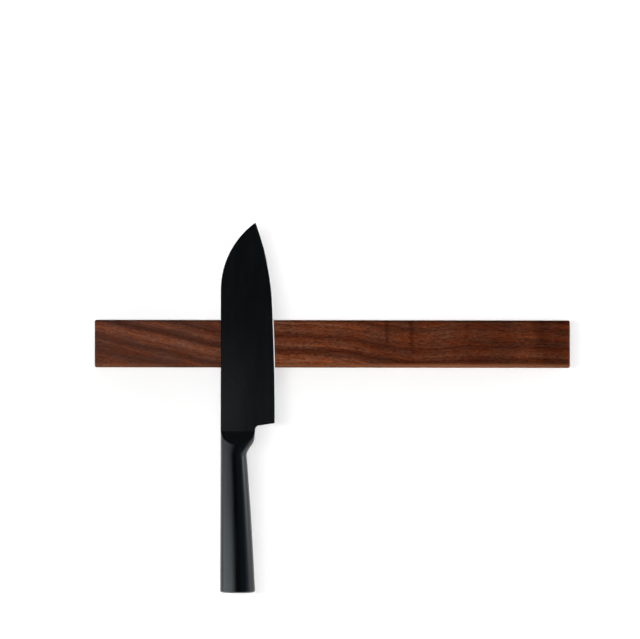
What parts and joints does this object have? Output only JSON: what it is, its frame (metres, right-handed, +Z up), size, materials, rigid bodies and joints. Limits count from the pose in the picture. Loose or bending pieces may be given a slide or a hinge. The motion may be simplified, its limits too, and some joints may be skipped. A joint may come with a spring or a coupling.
{
  "type": "magnetic knife bar with knife",
  "caption": "Wall-mounted walnut magnetic knife bar with a black santoku-type knife held flat on its front; keyhole plates in its back hang it on wall screws.",
  "frame": {"origin": "centre of the bar's back face, in the plane of the wall", "axes": "+X along the bar to the right as seen from the front, +Y into the wall, +Z up"},
  "size_m": [0.3, 0.0285, 0.233],
  "materials": {
    "walnut": "oiled walnut, straight and diagonal grain",
    "black_blade": "satin black coating, bright ground cutting edge",
    "black_handle": "satin black coating, a little glossier than the blade",
    "zinc_steel": "zinc plated steel",
    "nickel_magnet": "nickel plated magnet"
  },
  "bodies": {
    "bar": {"walnut_bar": "walnut", "magnet_01": "nickel_magnet", "magnet_02": "nickel_magnet", "magnet_03": "nickel_magnet", "magnet_04": "nickel_magnet", "magnet_05": "nickel_magnet", "magnet_06": "nickel_magnet", "magnet_07": "nickel_magnet", "magnet_08": "nickel_magnet", "magnet_09": "nickel_magnet", "magnet_10": "nickel_magnet", "magnet_11": "nickel_magnet", "magnet_12": "nickel_magnet", "steel_keeper": "zinc_steel", "back_strip": "walnut", "keyhole_plate_left": "zinc_steel", "keyhole_plate_right": "zinc_steel", "keyhole_plate_screws": "zinc_steel"},
    "knife": {"blade": "black_blade", "handle_shell": "black_handle", "butt_cap": "black_handle"}
  },
  "joints": [
    {"name": "knife_pull_off", "type": "slide", "parent": "bar", "child": "knife", "axis": [0, -1, 0], "range_m": [0, 0.1]}
  ]
}
